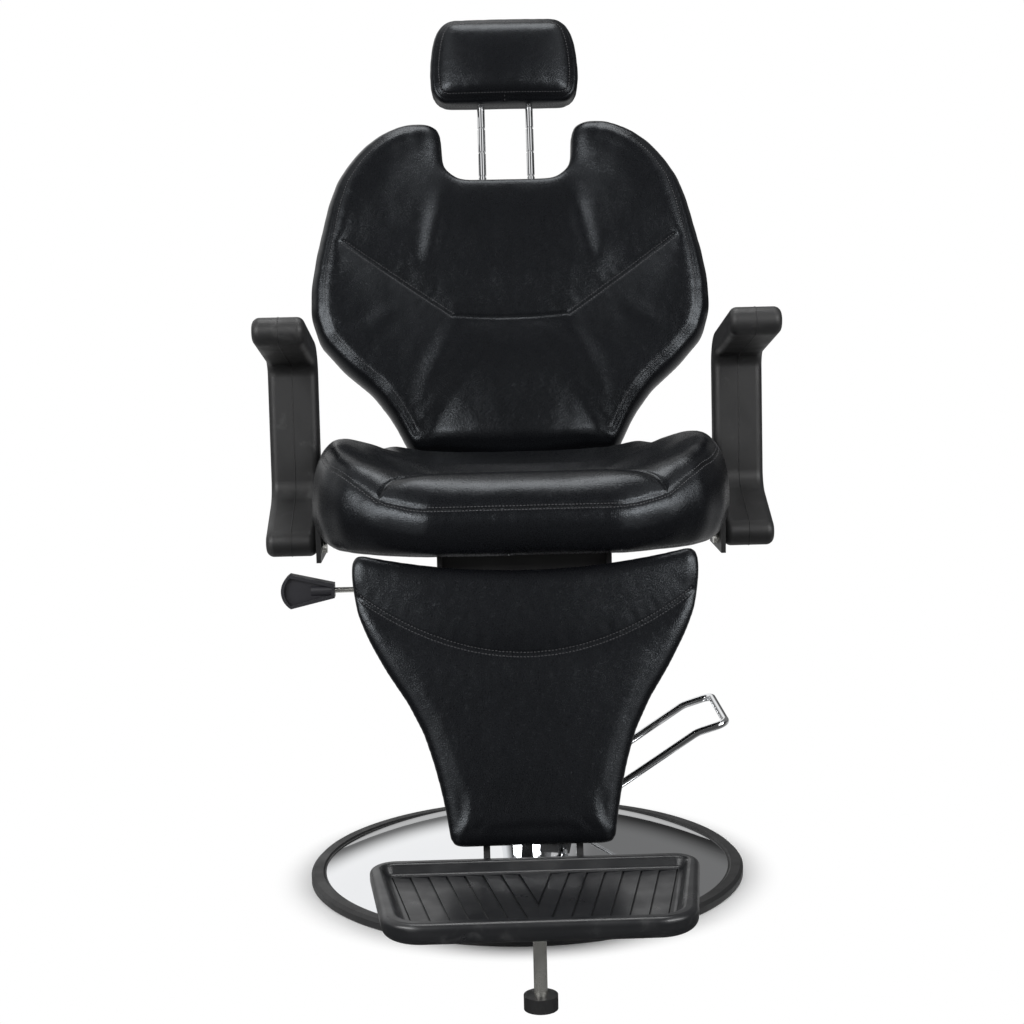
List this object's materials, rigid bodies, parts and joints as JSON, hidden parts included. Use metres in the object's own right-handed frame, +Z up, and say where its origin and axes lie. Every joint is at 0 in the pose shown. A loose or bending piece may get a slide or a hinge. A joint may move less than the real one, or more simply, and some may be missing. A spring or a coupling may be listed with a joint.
{
  "type": "barber chair",
  "caption": "Hydraulic barber chair with reclining back, coupled legrest, sliding headrest, curved arms and a round chrome base.",
  "frame": {"origin": "centre of the round base on the floor", "axes": "+Z up, -Y towards the front of the chair, +X to the sitter's left"},
  "size_m": [0.662, 0.9671, 1.1764],
  "materials": {
    "upholstery": "grained",
    "moulded_arm": "matt moulded",
    "rubber_black": "matt",
    "tray_rubber": "satin",
    "chrome_plate": "mirror",
    "black_steel": "satin black",
    "zinc_steel": "zinc plated",
    "plywood": "raw",
    "knob_plastic": "satin"
  },
  "bodies": {
    "base": {"base_rim": "rubber_black", "base_dome": "chrome_plate", "base_plate": "black_steel", "pump_cylinder": "black_steel", "pump_bolts": "zinc_steel", "pump_collar": "chrome_plate", "pump_gland": "chrome_plate", "lever_block": "black_steel"},
    "lever": {"lever_shaft": "chrome_plate", "pump_lever": "chrome_plate"},
    "ram": {"ram": "chrome_plate", "ram_piston": "zinc_steel", "swivel_bearing": "zinc_steel"},
    "seat": {"swivel_plate": "black_steel", "swivel_bolts": "zinc_steel", "seat_frame": "black_steel", "seat_board": "plywood", "seat_screws": "zinc_steel", "seat_cushion": "upholstery", "arm_bracket_left": "black_steel", "arm_bracket_right": "black_steel", "arm_bolts": "zinc_steel", "armrest_left": "moulded_arm", "armrest_right": "moulded_arm", "back_hinge_rod": "zinc_steel", "leg_hinge_rod": "zinc_steel", "release_head": "black_steel", "release_button": "zinc_steel", "gas_rod": "chrome_plate", "lever_bracket": "black_steel", "lever_pivot_pin": "zinc_steel"},
    "recline_lever": {"recline_rod": "zinc_steel", "recline_knob": "knob_plastic"},
    "gas_spring": {"gas_barrel": "black_steel", "gas_fork": "black_steel"},
    "backrest": {"back_frame": "black_steel", "gas_pin": "zinc_steel", "link_pin_rear": "zinc_steel", "back_board": "plywood", "back_screws": "zinc_steel", "back_cushion": "upholstery", "headrest_guides": "zinc_steel"},
    "headrest": {"headrest_rods": "chrome_plate", "headrest_board": "plywood", "headrest_cushion": "upholstery"},
    "link": {"recline_link": "black_steel"},
    "legrest": {"leg_frame": "black_steel", "link_pin_front": "zinc_steel", "leg_board": "plywood", "leg_screws": "zinc_steel", "leg_cushion": "upholstery", "footrest_tray": "tray_rubber", "tray_bolts": "zinc_steel", "support_rod": "zinc_steel", "support_nut": "zinc_steel", "support_foot": "rubber_black"}
  },
  "joints": [
    {"name": "lift", "type": "slide", "parent": "base", "child": "ram", "axis": [0, 0, 1], "range_m": [0, 0.15]},
    {"name": "swivel", "type": "hinge", "parent": "ram", "child": "seat", "pos_m": [0, 0, 0.424], "axis": [0, 0, 1], "continuous": true},
    {"name": "pump", "type": "hinge", "parent": "base", "child": "lever", "pos_m": [0.05, 0, 0.08987], "axis": [0, 1, 0], "range_deg": [0, 10], "stiffness_Nm_per_rad": 20, "springref_deg": -6.88},
    {"name": "recline", "type": "hinge", "parent": "seat", "child": "backrest", "pos_m": [0, 0.232, 0.47], "axis": [-1, 0, 0], "range_deg": [0, 40]},
    {"name": "leg_swing", "type": "hinge", "parent": "seat", "child": "legrest", "pos_m": [0, -0.21765, 0.43871], "axis": [-1, 0, 0], "range_deg": [0, 40]},
    {"name": "link_turn", "type": "hinge", "parent": "backrest", "child": "link", "pos_m": [0, 0.232, 0.415], "axis": [-1, 0, 0], "range_deg": [-40, 0]},
    {"name": "gas_stroke", "type": "slide", "parent": "seat", "child": "gas_spring", "axis": [0, -1, 0], "range_m": [0, 0.06518]},
    {"name": "recline_release", "type": "hinge", "parent": "seat", "child": "recline_lever", "pos_m": [-0.12, -0.1, 0.40986], "axis": [0, 1, 0], "range_deg": [0, 10], "stiffness_Nm_per_rad": 6, "springref_deg": -8.59},
    {"name": "headrest_height", "type": "slide", "parent": "backrest", "child": "headrest", "axis": [0, 0.2756, 0.9613], "range_m": [-0.015, 0.073]}
  ],
  "couplings": [
    {"joint": "leg_swing", "follows": "recline", "ratio": 1},
    {"joint": "link_turn", "follows": "recline", "ratio": -1},
    {"joint": "gas_stroke", "follows": "recline", "m_per_rad": 0.093083}
  ]
}
